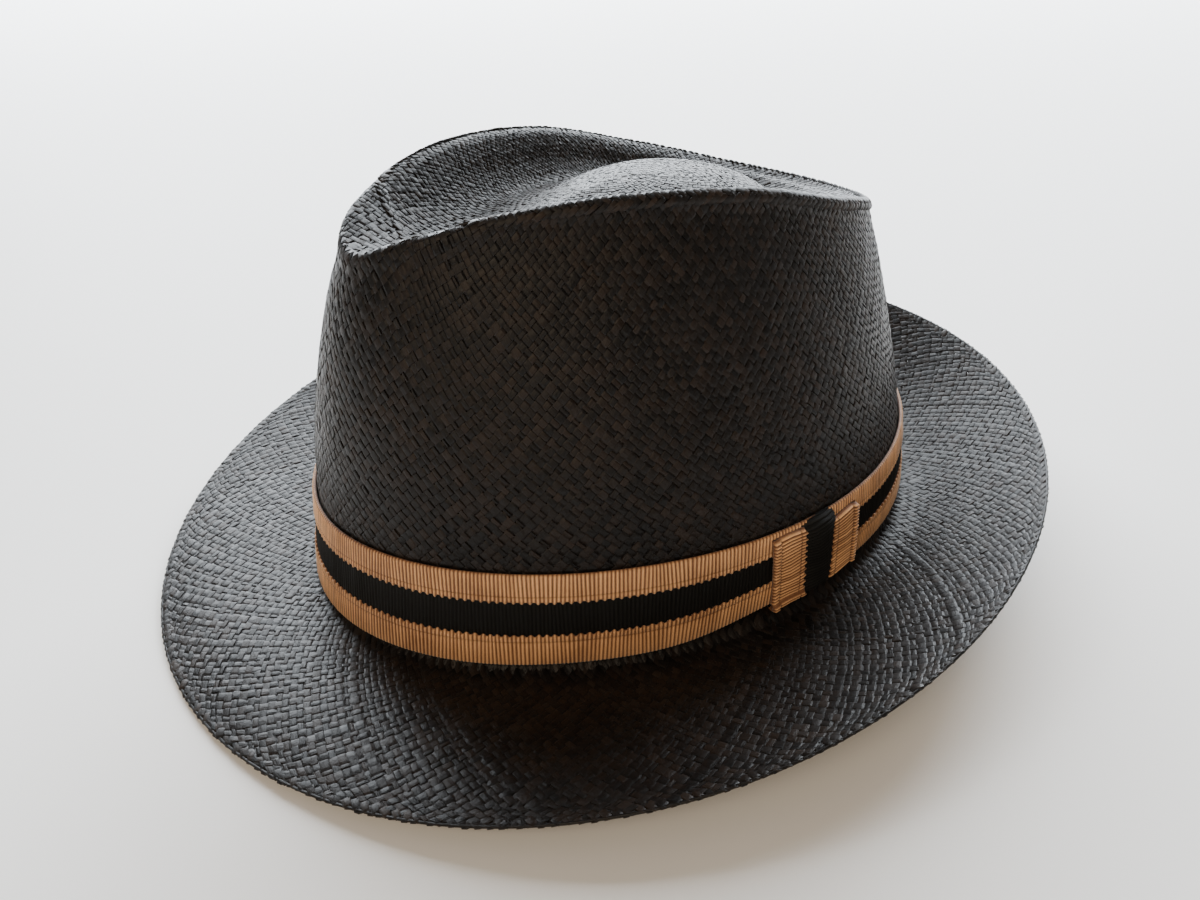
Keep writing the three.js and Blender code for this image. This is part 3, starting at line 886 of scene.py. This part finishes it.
# How far a strip lies from its usual offset near its ends: height, extra offset.
TAN_ENDS = [(LOWER_EDGE - 0.9, -0.9), (LOWER_EDGE - 0.5, 0.0), (UPPER_EDGE - 2.4, 0.0), (UPPER_EDGE - 1.4, -0.2),
            (UPPER_EDGE - 0.8, -1.0)]
REAR_ENDS = TAN_ENDS[:2] + [(height - 3.2, extra) for height, extra in TAN_ENDS[2:]]
BLACK_ENDS = [(LOWER_EDGE - 1.0, -1.2), (LOWER_EDGE - 0.2, 0.0), (UPPER_EDGE - 3.6, 0.3), (UPPER_EDGE - 1.6, -0.1),
              (UPPER_EDGE + 0.05, -1.6)]
HEM_ENDS = [(LOWER_EDGE - 0.5, -0.5), (LOWER_EDGE - 0.3, 0.7), (LOWER_EDGE + 0.2, 1.1), (LOWER_EDGE + 1.5, 1.15),
            (LOWER_EDGE + 2.0, 1.0), (LOWER_EDGE + 2.3, 0.1)] + TAN_ENDS[2:]
keeper_way = np.interp(KEEPER_ANGLE, turn_angles, hoop_way)


def keeper_strip(name, rows, ends, mirrored, seed):
    """A strip of the keeper with level ribs. rows are given across it, ends up along it."""
    random = np.random.default_rng(seed)
    if mirrored:
        rows = [(-across, offset, ribs, -loops) for across, offset, ribs, loops in rows[::-1]]
    ends = np.array(ends)
    count = round(KEEPER_RIBS * (ends[-1, 0] - ends[0, 0]) / RIB_STEP) * KEEPER_ROWS_PER_RIB + 1
    along = np.linspace(ends[0, 0], ends[-1, 0], count)
    phase = np.arange(count) / KEEPER_ROWS_PER_RIB
    rib = phase.astype(int)
    across, offset, ribs, loops = (np.array(rows)[:, k, None] for k in range(4))
    across = across + LOOP_REACH * loops * np.cos(np.pi * (phase - 0.5))
    relief = ribs * (0.5 - 0.5 * np.cos(2 * np.pi * phase)) * (1 + 0.07 * random.standard_normal(count // 6 + 2))[rib]
    offset = offset + KEEPER_RELIEF * (relief - ribs * 0.5) + np.interp(along, ends[:, 0], ends[:, 1])
    offset = np.maximum(offset, 0.2)
    height = along + 0.05 * across + 0.3 * np.sin(along * 0.25 + across * 0.55)
    corners = on_wall(ribbon_angle(keeper_way + across), height, offset)
    # The third value is the rib relief, from which the grosgrain finish paints shade into the grooves.
    values = np.stack([
        np.broadcast_to(rib + 7.0 * seed, corners.shape[:2]),
        np.broadcast_to(across / 9, corners.shape[:2]),
        np.broadcast_to(np.maximum(relief, 0) ** KEEPER_GROOVE_SHADE, corners.shape[:2]),
    ], -1)
    return ribbed_piece(name, corners, values, False, 1)


front_tan = [(across - KEEPER_HALF, *rest) for across, *rest in KEEPER_TAN]
black_rows = [(*row, 0.0) for row in KEEPER_BLACK]
keeper_pieces = [
    (keeper_strip("keeper_front_strip", front_tan, HEM_ENDS, False, 211), "tan_ribbon"),
    (keeper_strip("keeper_rear_strip", front_tan, REAR_ENDS, True, 212), "tan_ribbon"),
    (keeper_strip("keeper_black_strip", black_rows, BLACK_ENDS, False, 213), "black_ribbon"),
]

# %% [markdown]
# ## Stage and light
#
# A pale floor that runs past the picture, a large soft light behind the hat like a window, and
# weaker ones in front of it.

# %% Floor
bpy.ops.object.select_all(action="DESELECT")
bpy.ops.mesh.primitive_plane_add(size=40.0, location=(0, 0, 0))
floor = bpy.context.active_object
floor.name = "floor"
floor_finish = bpy.data.materials.new("pale_floor")
floor_finish.use_nodes = True
floor_shader = floor_finish.node_tree.nodes["Principled BSDF"]
floor_shader.inputs["Base Color"].default_value = (0.92, 0.91, 0.89, 1)
floor_shader.inputs["Roughness"].default_value = 0.55
floor.data.materials.append(floor_finish)


# %% Lights
def soft_light(name, place_at, aim, size, power, colour):
    data = bpy.data.lights.new(name, "AREA")
    data.shape = "RECTANGLE"
    data.size, data.size_y = size
    data.energy = power
    data.color = colour
    lamp = bpy.data.objects.new(name, data)
    lamp.location = place_at
    lamp.rotation_euler = (Vector(aim) - Vector(place_at)).to_track_quat("-Z", "Y").to_euler()
    bpy.context.scene.collection.objects.link(lamp)
    return lamp


soft_light("window_light", (-1.95, 1.53, 1.38), (0, 0, 0.06), (4.6, 2.2), 515, (0.88, 0.94, 1.0))
soft_light("room_light", (1.5, -1.85, 2.2), (0, 0, 0.05), (2.7, 2.0), 54, (1.0, 0.8, 0.57))
world = bpy.data.worlds.new("room")
world.use_nodes = True
world.node_tree.nodes["Background"].inputs["Color"].default_value = (1.0, 0.9, 0.8, 1)
world.node_tree.nodes["Background"].inputs["Strength"].default_value = 0.24
bpy.context.scene.world = world

# %% [markdown]
# ## Finishes
#
# All finishes are procedural. The straw group reads the tones that each strand and each float was
# given when it was woven, so that no two floats are quite alike, and adds fibres that run along the
# strand. The ribbon group reads the ribs and paints shade into the grooves between them.

# %% Helpers for node groups
def new_group(name, inputs, outputs):
    group = bpy.data.node_groups.new(name, "ShaderNodeTree")
    for direction, sockets in (("INPUT", inputs), ("OUTPUT", outputs)):
        for label, kind, value in sockets:
            socket = group.interface.new_socket(name=label, in_out=direction, socket_type=kind)
            if value is not None:
                socket.default_value = value
    start = group.nodes.new("NodeGroupInput")
    end = group.nodes.new("NodeGroupOutput")
    return group, start, end


def add_node(tree, kind, inputs=None, **settings):
    """Adds a node, sets it, and fills its inputs with values or with links."""
    node = tree.nodes.new(kind)
    for key, value in settings.items():
        setattr(node, key, value)
    for key, value in (inputs or {}).items():
        if isinstance(value, bpy.types.NodeSocket):
            tree.links.new(value, node.inputs[key])
        else:
            node.inputs[key].default_value = value
    return node


def maths(tree, operation, first, second=0.5, third=0.5):
    node = add_node(tree, "ShaderNodeMath", {0: first, 1: second, 2: third}, operation=operation)
    return node.outputs[0]


def mixed(tree, share, first, second):
    """Mixes two colours."""
    node = add_node(tree, "ShaderNodeMix", data_type="RGBA")
    for socket, value in ((node.inputs[0], share), (node.inputs[6], first), (node.inputs[7], second)):
        if isinstance(value, bpy.types.NodeSocket):
            tree.links.new(value, socket)
        else:
            socket.default_value = value
    return node.outputs[2]


# %% The dyed straw group
COLOUR, FLOAT = "NodeSocketColor", "NodeSocketFloat"
straw_group, given, result = new_group(
    "Dyed straw",
    [("Dye", COLOUR, (0.0026, 0.0021, 0.002, 1)), ("Light strand", COLOUR, (0.0155, 0.012, 0.0105, 1)),
     ("Bare straw", COLOUR, (0.026, 0.0135, 0.0065, 1)), ("Wear", FLOAT, 0.4)],
    [("Color", COLOUR, None), ("Roughness", FLOAT, None), ("Height", FLOAT, None)],
)
tones = add_node(straw_group, "ShaderNodeAttribute", attribute_name="straw_tone")
tone = add_node(straw_group, "ShaderNodeSeparateXYZ", {0: tones.outputs["Vector"]})
fibre_map = add_node(straw_group, "ShaderNodeUVMap", uv_map="fibre")
fibre_place = add_node(straw_group, "ShaderNodeMapping", {0: fibre_map.outputs[0], "Scale": (9.0, 0.55, 1.0)})
fibres = add_node(straw_group, "ShaderNodeTexNoise",
                  {"Vector": fibre_place.outputs[0], "Scale": 1.0, "Detail": 3.0, "Roughness": 0.6},
                  noise_dimensions="2D")
spot_place = add_node(straw_group, "ShaderNodeTexCoord")
spots = add_node(straw_group, "ShaderNodeTexNoise",
                 {"Vector": spot_place.outputs["Object"], "Scale": 45.0, "Detail": 2.0, "Roughness": 0.6})
strand_light = maths(straw_group, "MULTIPLY", tone.outputs[0], 0.55)
float_light = maths(straw_group, "MULTIPLY_ADD", tone.outputs[1], 0.45, strand_light)
light = maths(straw_group, "POWER", float_light, 1.8)
light = maths(straw_group, "MULTIPLY_ADD", fibres.outputs[0], 0.35, maths(straw_group, "SUBTRACT", light, 0.14))
dyed = mixed(straw_group, light, given.outputs["Dye"], given.outputs["Light strand"])
bare = maths(straw_group, "MULTIPLY_ADD", fibres.outputs[0], 0.6, maths(straw_group, "SUBTRACT", tone.outputs[1], 0.5))
bare = maths(straw_group, "ADD", bare, maths(straw_group, "SUBTRACT", spots.outputs[0], 0.62))
bare_mask = add_node(straw_group, "ShaderNodeMapRange", {0: bare, 1: 0.15, 2: 0.75, 3: 0.0, 4: 1.0}).outputs[0]
bare_mask = maths(straw_group, "MULTIPLY", bare_mask, given.outputs["Wear"])
colour = mixed(straw_group, bare_mask, dyed, given.outputs["Bare straw"])
rough = maths(straw_group, "MULTIPLY_ADD", fibres.outputs[0], 0.22, 0.27)
rough = maths(straw_group, "MULTIPLY_ADD", tone.outputs[0], 0.1, rough)
for label, socket in (("Color", colour), ("Roughness", rough), ("Height", fibres.outputs[0])):
    straw_group.links.new(socket, result.inputs[label])

# %% The grosgrain group
ribbon_group, given, result = new_group(
    "Grosgrain",
    [("Rib", COLOUR, (0.97, 0.53, 0.24, 1)), ("Painted groove shade", COLOUR, (0.14, 0.05, 0.015, 1)), ("Soiling", FLOAT, 0.3)],
    [("Color", COLOUR, None), ("Roughness", FLOAT, None), ("Height", FLOAT, None)],
)
ribs = add_node(ribbon_group, "ShaderNodeAttribute", attribute_name="rib")
rib = add_node(ribbon_group, "ShaderNodeSeparateXYZ", {0: ribs.outputs["Vector"]})
rib_tone = add_node(ribbon_group, "ShaderNodeTexWhiteNoise", {"W": rib.outputs[0]}, noise_dimensions="1D")
place_here = add_node(ribbon_group, "ShaderNodeTexCoord")
threads = add_node(ribbon_group, "ShaderNodeTexNoise",
                   {"Vector": place_here.outputs["Object"], "Scale": 2600.0, "Detail": 2.0, "Roughness": 0.7})
stains = add_node(ribbon_group, "ShaderNodeTexNoise",
                  {"Vector": place_here.outputs["Object"], "Scale": 60.0, "Detail": 3.0, "Roughness": 0.6})
# The rib relief paints shade into the grooves, so the groove colour is painted shade. The stains then take off real
# soiling.
depth = maths(ribbon_group, "POWER", rib.outputs[2], 1.0)
depth = maths(ribbon_group, "MULTIPLY_ADD", threads.outputs[0], 0.5, maths(ribbon_group, "SUBTRACT", depth, 0.22))
soil = add_node(ribbon_group, "ShaderNodeMapRange", {0: stains.outputs[0], 1: 0.45, 2: 0.8, 3: 0.0, 4: 1.0}).outputs[0]
soil = maths(ribbon_group, "MULTIPLY", soil, given.outputs["Soiling"])
tint = maths(ribbon_group, "MULTIPLY_ADD", rib_tone.outputs[0], -0.22, depth)
groove_shade_and_soil = add_node(ribbon_group, "ShaderNodeMath", {0: tint, 1: soil}, operation="SUBTRACT", use_clamp=True).outputs[0]
colour = mixed(ribbon_group, groove_shade_and_soil, given.outputs["Painted groove shade"], given.outputs["Rib"])
rough = maths(ribbon_group, "MULTIPLY_ADD", threads.outputs[0], 0.3, 0.55)
for label, socket in (("Color", colour), ("Roughness", rough), ("Height", threads.outputs[0])):
    ribbon_group.links.new(socket, result.inputs[label])


# %% Making a finish from a group
def finish(name, group, values, bump, settings):
    """A material whose colour, roughness and bump come from a group. settings are plain numbers."""
    material = bpy.data.materials.new(name)
    material.use_nodes = True
    tree = material.node_tree
    shader = tree.nodes["Principled BSDF"]
    effect = add_node(tree, "ShaderNodeGroup", node_tree=group)
    for label, value in values.items():
        effect.inputs[label].default_value = value
    relief = add_node(tree, "ShaderNodeBump",
                      {"Strength": bump[0], "Distance": bump[1] * MM, "Height": effect.outputs["Height"]})
    tree.links.new(effect.outputs["Color"], shader.inputs["Base Color"])
    tree.links.new(effect.outputs["Roughness"], shader.inputs["Roughness"])
    tree.links.new(relief.outputs[0], shader.inputs["Normal"])
    for label, value in settings.items():
        shader.inputs[label].default_value = value
    return material


# %% Finishes of the pieces
STRAW_GLOSS = {"Specular IOR Level": 0.21, "Sheen Weight": 0.03, "Sheen Roughness": 0.5}
wall_straw = finish("black_straw", straw_group, {"Wear": 0.35}, (0.8, 0.12), STRAW_GLOSS)
line_straw = finish("black_straw_lines", straw_group, {
    "Dye": (0.005, 0.004, 0.0036, 1), "Light strand": (0.018, 0.014, 0.012, 1), "Wear": 0.5,
}, (0.5, 0.12), STRAW_GLOSS)
tan_grosgrain = finish("tan_grosgrain", ribbon_group, {}, (0.5, 0.1), {"Sheen Weight": 0.2})
# The black ribbon's groove colour is painted shade as well.
black_grosgrain = finish("black_grosgrain", ribbon_group, {
    "Rib": (0.008, 0.008, 0.007, 1), "Painted groove shade": (0.001, 0.001, 0.001, 1), "Soiling": 0.15,
}, (0.5, 0.1), {"Specular IOR Level": 0.22, "Sheen Weight": 0.03})
finishes = {"tan_ribbon": tan_grosgrain, "black_ribbon": black_grosgrain}

# %% Give the pieces their finishes and places in the model
for piece in straw_pieces:
    own = line_straw if piece.name in ("straw_rim", "straw_braid_line") else wall_straw
    piece.data.materials.append(own)
    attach(piece, "root")
for piece, slot in ribbon_pieces + keeper_pieces:
    piece.data.materials.append(finishes[slot])
    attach(piece, "root")
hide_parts("straw_body")
CAD_STRIPS = ("ribbon_lower", "ribbon_upper", "ribbon_centre", "keeper_front", "keeper_rear", "keeper_centre")
for (piece, _), node in zip(ribbon_pieces + keeper_pieces, CAD_STRIPS):
    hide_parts(node)
